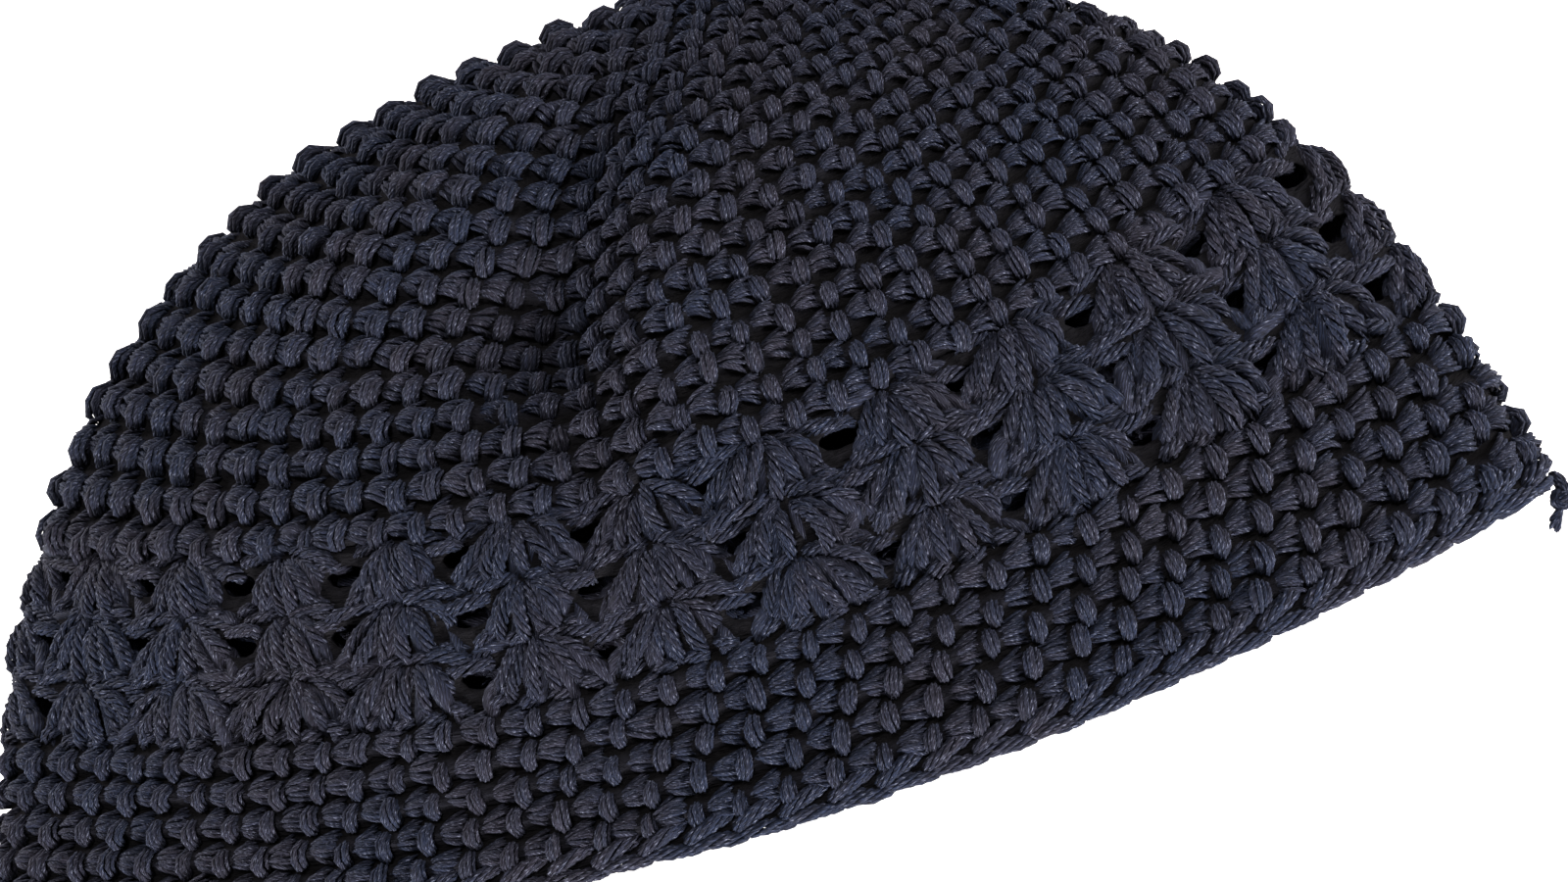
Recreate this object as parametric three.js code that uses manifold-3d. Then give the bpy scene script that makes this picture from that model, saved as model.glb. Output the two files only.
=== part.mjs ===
import * as THREE from 'three';
import { mergeVertices } from 'three/addons/utils/BufferGeometryUtils.js';
import Module from 'manifold-3d';

// A crocheted kufi lying on its side, pressed into two layers that fold along its left and right edges.
// Millimetres, +Z up from the table, +X along the rim, +Y from the rim to the top of the crown.

// Worked rounds, counted along a meridian from the top of the crown to the rim
const CROWN_ROUNDS = 20;
const CROWN_ROUND = 5.4;
const SHELL_ROUNDS = 3;
const SHELL_ROUND = 10.5;
const SHELLS = 24;
const RIM_ROUNDS = 5;
const RIM_ROUND = 5.2;
const EDGE = 4;
const WALL = 3.6;
const RIB = 0.6;
const EDGE_SWELL = 0.7;
const GAP = 0.45;

// Plan of the lying cap, measured up from the lowest place of the rim
const HALF_WIDTH = 124;
const DEPTH = 158;
const CORNER = 18;
const LEFT_POWER = 2.4;
const RIGHT_POWER = 2.25;
const TOP_OFFSET = 30;
const BAND_MIDDLE = 53;
const BAND_FOLD = 83;
const ORIGIN_DEPTH = 79;
const LOWER_TUCK = 3;

// Height of the layers over the table
const CROWN_FOLD = 6;
const RIM_FOLD = 3.4;
const CROWN_TIP = 8;
const RIM_TIP = 5.5;
const CROWN_LOFT = 14;
const BAND_LOFT = 11;
const RIM_LOFT = 5;
const TOP_END = 8;
const TOP_END_ARC = 13;
const TOP_RISE_ARC = 60;
const TURN_SOFTNESS = 0.15;
const TIP_EASE = 0.2;
const THINNING_START = 0.6 * CROWN_ROUNDS * CROWN_ROUND;
const FREE_FROM = -0.2;
const FREE_TO = 0.1;

// Soft ridges and dents of the upper layer: a line from one place to another, its reach and its height
const SOFT_FOLDS = [
  { name: 'left ridge', fromX: -18, fromY: 133, toX: -49, toY: 108, reach: 14, height: 4 },
  { name: 'upper dent', fromX: 2, fromY: 114, toX: -10, toY: 86, reach: 13, height: -6 },
  { name: 'lower dent', fromX: -10, fromY: 86, toX: -5, toY: 53, reach: 12, height: -3 },
  { name: 'middle ridge', fromX: 13, fromY: 104, toX: 6, toY: 59, reach: 12, height: 3 },
];

// The open place between two shells, as shares of one shell's width and height
const SHELL_COLUMNS = [
  { at: 0, foot: 0, swell: 0.9 },
  { at: 0.33, foot: 0.42, swell: 0.4 },
  { at: 0.5, foot: 0.5, swell: 0 },
  { at: 0.67, foot: 0.58, swell: 0.4 },
];
const SHELL_LEVELS = [
  { at: 0, swell: 0, recess: 0.5 },
  { at: 0.15, swell: 0.3, recess: 0.1 },
  { at: 0.6, swell: 1, recess: 0 },
];

// Knot of the yarn end, its place from the edge's corner, and the reach of its three cut ends
const KNOT_RADIUS = 1.8;
const KNOT_OUT = 0.8;
const KNOT_DROP = EDGE / 2 + GAP + KNOT_RADIUS;
const END_RADIUS = 0.9;
const END_SIDES = 8;
const END_STEPS = 5;
const END_LIFT = 0.4;
const CUT_ENDS = [
  { name: 'towards the front', x: -2.8, y: -3.4, z: -1.2 },
  { name: 'outwards', x: 2.8, y: -1.6, z: -0.6 },
  { name: 'backwards', x: 3.8, y: 3.0, z: 0.6 },
];

// Fineness of the surfaces
const CROWN_COLUMNS = 50;
const CROWN_INNER_RINGS = 10;
const INNER_RING_SPREAD = 1.4;
const OUTLINE_STEPS = 800;
const ROUND_STEPS = 720;
const SLOPE_STEP = 0.05;
const SLOPE_TURN = 0.002;
const EDGE_COLUMNS = 72;
const EDGE_SIDES = 6;

// Yarn of each piece
const YARN_ROUGHNESS = 0.85;
const YARN_COLORS = {
  crown: 0x1c2539,
  shell_band: 0x1d273d,
  rim_band: 0x1b253b,
  edge_chain: 0x1f2b45,
  yarn_tail: 0x22304d,
};

const CROWN_END = CROWN_ROUNDS * CROWN_ROUND;
const SHELL_END = CROWN_END + SHELL_ROUNDS * SHELL_ROUND;
const RIM_END = SHELL_END + RIM_ROUNDS * RIM_ROUND;
const CAP_END = RIM_END + EDGE;

const clamp = THREE.MathUtils.clamp;
const lerp = THREE.MathUtils.lerp;
const easeBetween = (value, from, to) => THREE.MathUtils.smoothstep(value, from, to);

// Value of a rising table at a place, with straight lines between its rows
function lookUp(rows, key, value, place) {
  let low = 0;
  let high = rows.length - 1;
  while (high - low > 1) {
    const middle = (low + high) >> 1;
    if (rows[middle][key] <= place) {
      low = middle;
    } else {
      high = middle;
    }
  }
  const share = clamp((place - rows[low][key]) / (rows[high][key] - rows[low][key]), 0, 1);
  return lerp(rows[low][value], rows[high][value], share);
}

// Fold line of the lying cap: half a rounded oblong, with its length counted from the top of the crown
function outlineRows() {
  const rows = [];
  let length = 0;
  for (let i = 0; i <= OUTLINE_STEPS; i++) {
    const turn = Math.PI * (i / OUTLINE_STEPS - 0.5);
    const power = 2 / (turn < 0 ? LEFT_POWER : RIGHT_POWER);
    const x = HALF_WIDTH * Math.sign(Math.sin(turn)) * Math.abs(Math.sin(turn)) ** power;
    const y = CORNER + (DEPTH - CORNER) * Math.abs(Math.cos(turn)) ** power;
    if (i > 0) {
      length += Math.hypot(x - rows[i - 1].x, y - rows[i - 1].y);
    }
    rows.push({ x, y, length });
  }
  const start = lookUp(rows, 'x', 'length', TOP_OFFSET);
  return rows.map((row) => ({ x: row.x, y: row.y, length: row.length - start }));
}

const OUTLINE = outlineRows();
const TOP_Y = lookUp(OUTLINE, 'x', 'y', TOP_OFFSET);
const LEFT_SIDE = OUTLINE.filter((row) => row.x < 0);
const RIGHT_SIDE = OUTLINE.filter((row) => row.x > TOP_OFFSET).reverse();
const FOLD_ARCS = {
  left: { band: lookUp(LEFT_SIDE, 'y', 'length', BAND_FOLD), rim: OUTLINE[0].length },
  right: { band: lookUp(RIGHT_SIDE, 'y', 'length', BAND_FOLD), rim: OUTLINE.at(-1).length },
};

// Where a round meets the left or right fold
function foldPoint(v, side) {
  const arcs = FOLD_ARCS[side];
  const inBand = (v - CROWN_END) / (CAP_END - CROWN_END);
  const arc = v < CROWN_END ? (arcs.band * v) / CROWN_END : lerp(arcs.band, arcs.rim, inBand);
  return { x: lookUp(OUTLINE, 'length', 'x', arc), y: lookUp(OUTLINE, 'length', 'y', arc) };
}

// Where a round crosses the middle of a layer
function middleY(v) {
  if (v < TOP_END_ARC) {
    return TOP_Y - TOP_END * (1 - Math.cos((Math.PI / 2) * (v / TOP_END_ARC)));
  }
  if (v < CROWN_END) {
    return lerp(TOP_Y - TOP_END, BAND_MIDDLE, (v - TOP_END_ARC) / (CROWN_END - TOP_END_ARC));
  }
  return BAND_MIDDLE * (CAP_END - v) / (CAP_END - CROWN_END);
}

function softFoldHeight(x, y) {
  let height = 0;
  for (const fold of SOFT_FOLDS) {
    const runX = fold.toX - fold.fromX;
    const runY = fold.toY - fold.fromY;
    const along = ((x - fold.fromX) * runX + (y - fold.fromY) * runY) / (runX * runX + runY * runY);
    const share = clamp(along, 0, 1);
    const away = Math.hypot(x - fold.fromX - share * runX, y - fold.fromY - share * runY);
    height += fold.height * Math.exp(-((away / fold.reach) ** 2));
  }
  return height;
}

// Middle of the wall: v runs down a meridian, turn goes once round from the right fold over the upper layer
function middlePoint(v, turn) {
  const across = Math.cos(turn);
  const over = Math.sin(turn);
  const left = foldPoint(v, 'left');
  const right = foldPoint(v, 'right');
  const half = (right.x - left.x) / 2;
  const foldY = across > 0 ? right.y : left.y;
  const midY = middleY(v);
  const crownShare = 1 - easeBetween(v, 0, CROWN_END);
  const rounded = Math.hypot(over, TURN_SOFTNESS) - TURN_SOFTNESS;
  const arch = rounded / (Math.hypot(1, TURN_SOFTNESS) - TURN_SOFTNESS);
  const drop = lerp(over * over, arch, crownShare);
  const x = (left.x + right.x) / 2 + half * across;
  const y = midY + (foldY - midY) * (1 - drop);

  const rimShare = easeBetween(v, THINNING_START, CAP_END);
  const fold = lerp(CROWN_FOLD, RIM_FOLD, rimShare);
  const fullTip = lerp(CROWN_TIP, RIM_TIP, rimShare);
  const tip = Math.max(Math.min((fullTip * half) / (half + TIP_EASE * fullTip), half), Number.EPSILON);
  const fromTip = clamp(((1 - Math.abs(across)) * half) / tip, 0, 1);
  const topEnd = Math.sin((Math.PI / 2) * clamp(v / TOP_END_ARC, 0, 1));
  const rise = fold * Math.sqrt(1 - (1 - fromTip) ** 2) * topEnd;
  const foldZ = WALL / 2 + fold;
  if (over < 0) {
    const tuck = LOWER_TUCK * over * over * easeBetween(v, CROWN_END, CAP_END);
    return new THREE.Vector3(x, y + tuck - ORIGIN_DEPTH, foldZ - rise);
  }
  const crownLoft = lerp(CROWN_LOFT, BAND_LOFT, easeBetween(v, 0, CROWN_END));
  const loft = v < CROWN_END ? crownLoft : lerp(BAND_LOFT, RIM_LOFT, easeBetween(v, CROWN_END, CAP_END));
  const topRise = Math.sin((Math.PI / 2) * clamp(v / TOP_RISE_ARC, 0, 1)) ** 2;
  const puff = loft * over * over * topRise + softFoldHeight(x, y) * over * over * topEnd;
  return new THREE.Vector3(x, y - ORIGIN_DEPTH, foldZ + rise + puff);
}

// Direction out of the wall
function outward(v, turn) {
  const down = middlePoint(v + SLOPE_STEP, turn).sub(middlePoint(v - SLOPE_STEP, turn));
  const round = middlePoint(v, turn + SLOPE_TURN).sub(middlePoint(v, turn - SLOPE_TURN));
  return round.cross(down).normalize();
}

const wallPoint = (v, turn, offset) => middlePoint(v, turn).addScaledVector(outward(v, turn), offset);

// The table flattens the underside, so ribs and swells stand only where the layer is free
const freeShare = (turn) => easeBetween(Math.sin(turn), FREE_FROM, FREE_TO);

// Turns that share a round into equal lengths, shell by shell
function equalTurns(v, shares) {
  const rows = [];
  let length = 0;
  let last = middlePoint(v, 0);
  for (let i = 0; i <= ROUND_STEPS; i++) {
    const turn = (2 * Math.PI * i) / ROUND_STEPS;
    const point = middlePoint(v, turn);
    length += point.distanceTo(last);
    rows.push({ turn, length });
    last = point;
  }
  return shares.map((share) => lookUp(rows, 'length', 'turn', share * length));
}

const evenTurns = (count) => Array.from({ length: count }, (_, i) => (2 * Math.PI * i) / count);

// Collects the points and faces of one closed body
class Body {
  constructor() {
    this.points = [];
    this.faces = [];
  }

  ring(points) {
    const first = this.points.length;
    this.points.push(...points);
    return points.map((_, i) => first + i);
  }

  quad(a, b, c, d) {
    this.faces.push([a, b, c], [a, c, d]);
  }

  // Faces between two rings that go round the cap, apart from the columns left open
  strip(upper, lower, isOpen = () => false) {
    upper.forEach((_, i) => {
      const next = (i + 1) % upper.length;
      if (!isOpen(i)) {
        this.quad(upper[i], upper[next], lower[next], lower[i]);
      }
    });
  }

  fan(pole, ring, inwards) {
    ring.forEach((_, i) => {
      const next = (i + 1) % ring.length;
      this.faces.push(inwards ? [pole, ring[i], ring[next]] : [pole, ring[next], ring[i]]);
    });
  }

  geometry() {
    const geometry = new THREE.BufferGeometry();
    const coordinates = this.points.flatMap((point) => point.toArray());
    geometry.setAttribute('position', new THREE.Float32BufferAttribute(coordinates, 3));
    geometry.setIndex(this.faces.flat());
    geometry.computeVertexNormals();
    return geometry;
  }
}

// Outer rings of plain rounds: a groove at each join and a rib on each round
function ribbedRings(body, from, rounds, height, turns, first) {
  const end = from + rounds * height;
  const rings = [];
  for (let half = first; half <= 2 * rounds; half++) {
    const v = clamp(from + (half * height) / 2, from + GAP / 2, end - GAP / 2);
    const rib = half % 2 === 1 ? RIB : 0;
    rings.push(body.ring(turns.map((turn) => wallPoint(v, turn, WALL / 2 + rib * freeShare(turn)))));
  }
  return rings;
}

const innerRing = (body, v, turns) => body.ring(turns.map((turn) => wallPoint(v, turn, -WALL / 2)));

function stackStrips(body, rings, inwards) {
  for (let i = 1; i < rings.length; i++) {
    if (inwards) {
      body.strip(rings[i], rings[i - 1]);
    } else {
      body.strip(rings[i - 1], rings[i]);
    }
  }
}

function crownGeometry() {
  const body = new Body();
  const turns = evenTurns(CROWN_COLUMNS);
  const outer = ribbedRings(body, 0, CROWN_ROUNDS, CROWN_ROUND, turns, 1);
  const inner = [];
  for (let i = 1; i <= CROWN_INNER_RINGS; i++) {
    const v = (CROWN_END - GAP / 2) * (i / CROWN_INNER_RINGS) ** INNER_RING_SPREAD;
    inner.push(innerRing(body, v, turns));
  }
  const top = middlePoint(0, 0);
  const [outerTop] = body.ring([top.clone().add(new THREE.Vector3(0, WALL / 2, 0))]);
  const [innerTop] = body.ring([top.clone().add(new THREE.Vector3(0, -WALL / 2, 0))]);
  body.fan(outerTop, outer[0], false);
  body.fan(innerTop, inner[0], true);
  stackStrips(body, outer, false);
  stackStrips(body, inner, true);
  body.strip(outer.at(-1), inner.at(-1));
  return body.geometry();
}

function rimGeometry() {
  const body = new Body();
  const turns = evenTurns(CROWN_COLUMNS);
  const outer = ribbedRings(body, SHELL_END, RIM_ROUNDS, RIM_ROUND, turns, 0);
  const innerPlaces = [SHELL_END + GAP / 2, (SHELL_END + RIM_END) / 2, RIM_END - GAP / 2];
  const inner = innerPlaces.map((v) => innerRing(body, v, turns));
  stackStrips(body, outer, false);
  stackStrips(body, inner, true);
  body.strip(inner[0], outer[0]);
  body.strip(outer.at(-1), inner.at(-1));
  return body.geometry();
}

// Shells hang point upwards, each row from the middle of the row above, and leave open places between them
function shellGeometry() {
  const body = new Body();
  const columns = [];
  for (let shell = 0; shell < SHELLS; shell++) {
    SHELL_COLUMNS.forEach((column) => columns.push({ ...column, shell }));
  }
  const middle = (CROWN_END + SHELL_END) / 2;
  const heads = equalTurns(middle, columns.map((column) => (column.shell + column.at) / SHELLS));
  const feet = equalTurns(middle, columns.map((column) => (column.shell + column.foot) / SHELLS));
  const outer = [];
  const inner = [];
  for (let round = 0; round <= SHELL_ROUNDS; round++) {
    const levels = round === SHELL_ROUNDS ? SHELL_LEVELS.slice(0, 1) : SHELL_LEVELS;
    levels.forEach((level) => {
      const place = CROWN_END + (round + level.at) * SHELL_ROUND;
      const v = clamp(place, CROWN_END + GAP / 2, SHELL_END - GAP / 2);
      const turns = level === SHELL_LEVELS.at(-1) ? feet : heads;
      const swells = columns.map((column) => level.swell * column.swell - level.recess);
      const offsets = turns.map((turn, i) => WALL / 2 + swells[i] * freeShare(turn));
      outer.push(body.ring(turns.map((turn, i) => wallPoint(v, turn, offsets[i]))));
      inner.push(innerRing(body, v, turns));
    });
  }
  const isOpenColumn = (i) => i % SHELL_COLUMNS.length === 1 || i % SHELL_COLUMNS.length === 2;
  for (let i = 1; i < outer.length; i++) {
    const pierced = (i - 1) % SHELL_LEVELS.length === 1;
    const isOpen = pierced ? isOpenColumn : undefined;
    body.strip(outer[i - 1], outer[i], isOpen);
    body.strip(inner[i], inner[i - 1], isOpen);
    if (pierced) {
      lineOpenings(body, outer[i - 1], outer[i], inner[i - 1], inner[i]);
    }
  }
  body.strip(inner[0], outer[0]);
  body.strip(outer.at(-1), inner.at(-1));
  return body.geometry();
}

// Sides of the open places in one round of shells
function lineOpenings(body, outerHead, outerFoot, innerHead, innerFoot) {
  for (let shell = 0; shell < SHELLS; shell++) {
    const start = shell * SHELL_COLUMNS.length + 1;
    const places = [start, start + 1, start + 2];
    const outerLoop = [...places.map((i) => outerHead[i]), ...places.map((i) => outerFoot[i]).reverse()];
    const innerLoop = [...places.map((i) => innerHead[i]), ...places.map((i) => innerFoot[i]).reverse()];
    outerLoop.forEach((_, i) => {
      const next = (i + 1) % outerLoop.length;
      body.quad(outerLoop[i], outerLoop[next], innerLoop[next], innerLoop[i]);
    });
  }
}

// A rounded ring along the rim
function edgeGeometry() {
  const body = new Body();
  const turns = evenTurns(EDGE_COLUMNS);
  const middle = (RIM_END + GAP / 2 + CAP_END) / 2;
  const reach = (CAP_END - RIM_END - GAP / 2) / 2;
  const rings = [];
  for (let side = 0; side < EDGE_SIDES; side++) {
    const angle = (2 * Math.PI * (side + 0.5)) / EDGE_SIDES;
    const v = middle - reach * Math.cos(angle);
    const out = Math.sin(angle);
    rings.push(body.ring(turns.map((turn) => {
      const swell = out > 0 ? EDGE_SWELL * freeShare(turn) : 0;
      return wallPoint(v, turn, (WALL / 2 + swell) * out);
    })));
  }
  rings.forEach((ring, i) => body.strip(ring, rings[(i + 1) % rings.length]));
  return body.geometry();
}

// Yarn end at the right corner of the rim: a small knot with three short cut ends
async function tailGeometry() {
  const wasm = await Module();
  wasm.setup();
  const solid = (geometry) => {
    geometry.deleteAttribute('normal');
    geometry.deleteAttribute('uv');
    const merged = mergeVertices(geometry);
    const vertProperties = new Float32Array(merged.attributes.position.array);
    const triVerts = new Uint32Array(merged.index.array);
    return new wasm.Manifold(new wasm.Mesh({ numProp: 3, vertProperties, triVerts }));
  };
  const corner = wallPoint(CAP_END - EDGE / 2, 0, KNOT_OUT).sub(new THREE.Vector3(0, KNOT_DROP, 0));
  let tail = solid(new THREE.IcosahedronGeometry(KNOT_RADIUS, 1).translate(corner.x, corner.y, corner.z));
  const circle = new THREE.EllipseCurve(0, 0, END_RADIUS, END_RADIUS).getPoints(END_SIDES);
  const section = new THREE.Shape(circle.slice(0, END_SIDES));
  for (const end of CUT_ENDS) {
    const reach = new THREE.Vector3(end.x, end.y, end.z);
    const bend = reach.clone().divideScalar(2).add(new THREE.Vector3(0, 0, END_LIFT));
    const route = [corner, corner.clone().add(bend), corner.clone().add(reach)];
    const extrudePath = new THREE.CatmullRomCurve3(route);
    tail = tail.add(solid(new THREE.ExtrudeGeometry(section, { steps: END_STEPS, extrudePath })));
  }
  const { vertProperties, triVerts } = tail.getMesh();
  const geometry = new THREE.BufferGeometry();
  geometry.setAttribute('position', new THREE.BufferAttribute(vertProperties, 3));
  geometry.setIndex(new THREE.BufferAttribute(triVerts, 1));
  geometry.computeVertexNormals();
  return geometry;
}

function piece(name, geometry) {
  const color = YARN_COLORS[name];
  const yarn = new THREE.MeshStandardMaterial({ color, roughness: YARN_ROUGHNESS, metalness: 0 });
  const mesh = new THREE.Mesh(geometry, yarn);
  mesh.name = name;
  return mesh;
}

const kufi = new THREE.Group();
kufi.add(piece('crown', crownGeometry()));
kufi.add(piece('shell_band', shellGeometry()));
kufi.add(piece('rim_band', rimGeometry()));
kufi.add(piece('edge_chain', edgeGeometry()));
kufi.add(piece('yarn_tail', await tailGeometry()));

export default kufi;
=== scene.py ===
import math

import bmesh
import bpy
import numpy as np
from mathutils import Matrix, Vector


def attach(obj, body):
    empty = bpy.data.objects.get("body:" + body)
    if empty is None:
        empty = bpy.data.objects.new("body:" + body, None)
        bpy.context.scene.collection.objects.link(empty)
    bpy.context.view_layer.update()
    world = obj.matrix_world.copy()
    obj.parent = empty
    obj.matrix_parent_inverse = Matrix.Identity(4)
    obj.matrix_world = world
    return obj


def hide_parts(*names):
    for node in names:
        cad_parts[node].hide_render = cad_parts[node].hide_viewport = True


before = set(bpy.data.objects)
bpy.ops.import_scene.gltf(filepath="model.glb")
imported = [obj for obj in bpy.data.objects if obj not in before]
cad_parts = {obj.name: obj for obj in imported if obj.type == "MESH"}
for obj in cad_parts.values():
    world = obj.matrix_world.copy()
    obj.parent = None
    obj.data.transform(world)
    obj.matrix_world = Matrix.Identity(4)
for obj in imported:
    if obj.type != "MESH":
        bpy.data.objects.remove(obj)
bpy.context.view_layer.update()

# A crocheted kufi that lies on its side in two layers, with every stitch laid in yarn.
# Sizes are millimetres until a mesh is made; +X runs along the rim, +Y to the top of the crown, +Z up.
# A place on the wall is v, down a meridian from the top of the crown, and its share of the round there.
MM = 0.001
TINY = 1e-12
draw = np.random.default_rng(11)

# Rounds along a meridian, from the top of the crown down to the rim
CROWN_ROUNDS = 20
CROWN_ROUND = 5.4
SHELL_ROUNDS = 3
SHELL_ROUND = 10.5
SHELLS = 24
RIM_ROUNDS = 5
RIM_ROUND = 5.2
EDGE = 4.0
WALL = 3.6
STITCHES = 72
START_STITCHES = 6
CROWN_END = CROWN_ROUNDS * CROWN_ROUND
SHELL_END = CROWN_END + SHELL_ROUNDS * SHELL_ROUND
RIM_END = SHELL_END + RIM_ROUNDS * RIM_ROUND
CAP_END = RIM_END + EDGE

# Plan of the lying cap, measured up from the lowest place of the rim
HALF_WIDTH = 124.0
DEPTH = 158.0
CORNER = 18.0
LEFT_POWER = 2.4
RIGHT_POWER = 2.25
TOP_OFFSET = 30.0
BAND_MIDDLE = 53.0
BAND_FOLD = 83.0
ORIGIN_DEPTH = 79.0
LOWER_TUCK = 3.0

# Height of the layers over the table
CROWN_FOLD = 6.0
RIM_FOLD = 3.4
CROWN_TIP = 8.0
RIM_TIP = 5.5
CROWN_LOFT = 14.0
BAND_LOFT = 11.0
RIM_LOFT = 5.0
TOP_END = 8.0
TOP_END_ARC = 13.0
TOP_RISE_ARC = 60.0
TURN_SOFTNESS = 0.15
TIP_EASE = 0.2
THINNING_START = 0.6 * CROWN_END

# Sine of the turn from which a stitch leaves the table, and at which it stands free
FREE_FROM = -0.2
FREE_TO = 0.1

# Soft ridges and dents: from x, from y, to x, to y, reach, height
SOFT_FOLDS = (
    ("left ridge", -18, 133, -49, 108, 14, 4),
    ("upper dent", 2, 114, -10, 86, 13, -6),
    ("lower dent", -10, 86, -5, 53, 12, -3),
    ("middle ridge", 13, 104, 6, 59, 12, 3),
)

# Steps of the fold line, of slopes and of the table of rounds
FOLD_STEPS = 801
SLOPE_STEP = 0.05
SLOPE_TURN = 0.002
FIRST_LEVEL = 0.5
LEVEL_STEPS = 340
SHARE_STEPS = 721
TURN_STEPS = 1441
LAST_PLACE = LEVEL_STEPS - 1.001


def ease(value, start, end):
    share = np.clip((value - start) / (end - start), 0.0, 1.0)
    return share * share * (3.0 - 2.0 * share)


def between(low, high, share):
    return low + (high - low) * share


def unit(vectors):
    return vectors / np.maximum(np.linalg.norm(vectors, axis=-1, keepdims=True), TINY)


# The fold line and the wall's middle surface

def fold_line():
    """The cap's outline in plan, and its length from the top of the crown."""
    turn = np.linspace(-math.pi / 2, math.pi / 2, FOLD_STEPS)
    sine, cosine = np.sin(turn), np.cos(turn)
    power = 2 / np.where(turn < 0, LEFT_POWER, RIGHT_POWER)
    x = HALF_WIDTH * np.sign(sine) * np.abs(sine) ** power
    y = CORNER + (DEPTH - CORNER) * np.abs(cosine) ** power
    length = np.concatenate([[0.0], np.cumsum(np.hypot(np.diff(x), np.diff(y)))])
    return x, y, length - np.interp(TOP_OFFSET, x, length)


FOLD_X, FOLD_Y, FOLD_LENGTH = fold_line()
TOP_Y = np.interp(TOP_OFFSET, FOLD_X, FOLD_Y)
ON_LEFT = FOLD_X < 0
ON_RIGHT = FOLD_X > TOP_OFFSET
LEFT_BAND = np.interp(BAND_FOLD, FOLD_Y[ON_LEFT], FOLD_LENGTH[ON_LEFT])
RIGHT_BAND = np.interp(BAND_FOLD, FOLD_Y[ON_RIGHT][::-1], FOLD_LENGTH[ON_RIGHT][::-1])


def fold_point(v, band, rim):
    in_band = (v - CROWN_END) / (CAP_END - CROWN_END)
    arc = np.where(v < CROWN_END, band * v / CROWN_END, between(band, rim, in_band))
    return np.interp(arc, FOLD_LENGTH, FOLD_X), np.interp(arc, FOLD_LENGTH, FOLD_Y)


def middle_line(v):
    end = TOP_Y - TOP_END * (1 - np.cos(math.pi / 2 * v / TOP_END_ARC))
    crown = between(TOP_Y - TOP_END, BAND_MIDDLE, (v - TOP_END_ARC) / (CROWN_END - TOP_END_ARC))
    band = BAND_MIDDLE * (CAP_END - v) / (CAP_END - CROWN_END)
    return np.where(v < TOP_END_ARC, end, np.where(v < CROWN_END, crown, band))


def soft_folds(x, y):
    height = np.zeros_like(x)
    for _, from_x, from_y, to_x, to_y, reach, rise in SOFT_FOLDS:
        run_x, run_y = to_x - from_x, to_y - from_y
        along = ((x - from_x) * run_x + (y - from_y) * run_y) / (run_x * run_x + run_y * run_y)
        share = np.clip(along, 0.0, 1.0)
        away = np.hypot(x - from_x - share * run_x, y - from_y - share * run_y)
        height += rise * np.exp(-((away / reach) ** 2))
    return height


def wall_middle(v, turn):
    """Middle of the wall at v, where turn runs once round from the right fold over the upper layer."""
    across, over = np.cos(turn), np.sin(turn)
    left_x, left_y = fold_point(v, LEFT_BAND, FOLD_LENGTH[0])
    right_x, right_y = fold_point(v, RIGHT_BAND, FOLD_LENGTH[-1])
    half = (right_x - left_x) / 2
    middle_y = middle_line(v)
    rounded = np.hypot(over, TURN_SOFTNESS) - TURN_SOFTNESS
    arch = rounded / (math.hypot(1, TURN_SOFTNESS) - TURN_SOFTNESS)
    drop = between(over * over, arch, 1 - ease(v, 0, CROWN_END))
    x = (left_x + right_x) / 2 + half * across
    y = middle_y + (np.where(across > 0, right_y, left_y) - middle_y) * (1 - drop)

    rim_share = ease(v, THINNING_START, CAP_END)
    fold = between(CROWN_FOLD, RIM_FOLD, rim_share)
    full_tip = between(CROWN_TIP, RIM_TIP, rim_share)
    tip = np.maximum(np.minimum(full_tip * half / (half + TIP_EASE * full_tip), half), TINY)
    from_tip = np.clip((1 - np.abs(across)) * half / tip, 0.0, 1.0)
    top_end = np.sin(math.pi / 2 * np.clip(v / TOP_END_ARC, 0.0, 1.0))
    rise = fold * np.sqrt(1 - (1 - from_tip) ** 2) * top_end
    fold_z = WALL / 2 + fold
    tuck = LOWER_TUCK * over * over * ease(v, CROWN_END, CAP_END)
    crown_loft = between(CROWN_LOFT, BAND_LOFT, ease(v, 0, CROWN_END))
    band_loft = between(BAND_LOFT, RIM_LOFT, ease(v, CROWN_END, CAP_END))
    loft = np.where(v < CROWN_END, crown_loft, band_loft)
    top_rise = np.sin(math.pi / 2 * np.clip(v / TOP_RISE_ARC, 0.0, 1.0)) ** 2
    puff = over * over * (loft * top_rise + soft_folds(x, y) * top_end)
    below = over < 0
    z = np.where(below, fold_z - rise, fold_z + rise + puff)
    return np.stack([x, np.where(below, y + tuck, y) - ORIGIN_DEPTH, z], axis=-1)


def wall_outward(v, turn):
    down = wall_middle(v + SLOPE_STEP, turn) - wall_middle(v - SLOPE_STEP, turn)
    along = wall_middle(v, turn + SLOPE_TURN) - wall_middle(v, turn - SLOPE_TURN)
    return unit(np.cross(along, down))


def down_stretch(v, turn):
    """How much longer a round is down the wall here than its own height."""
    below = wall_middle(np.minimum(v + SLOPE_STEP, CAP_END), turn)
    return np.linalg.norm(below - wall_middle(v - SLOPE_STEP, turn), axis=-1) / (2 * SLOPE_STEP)


# Equal shares of each round, looked up from a table of turns

LEVELS = np.linspace(FIRST_LEVEL, CAP_END, LEVEL_STEPS)
SHARES = np.linspace(0.0, 1.0, SHARE_STEPS)


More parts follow.
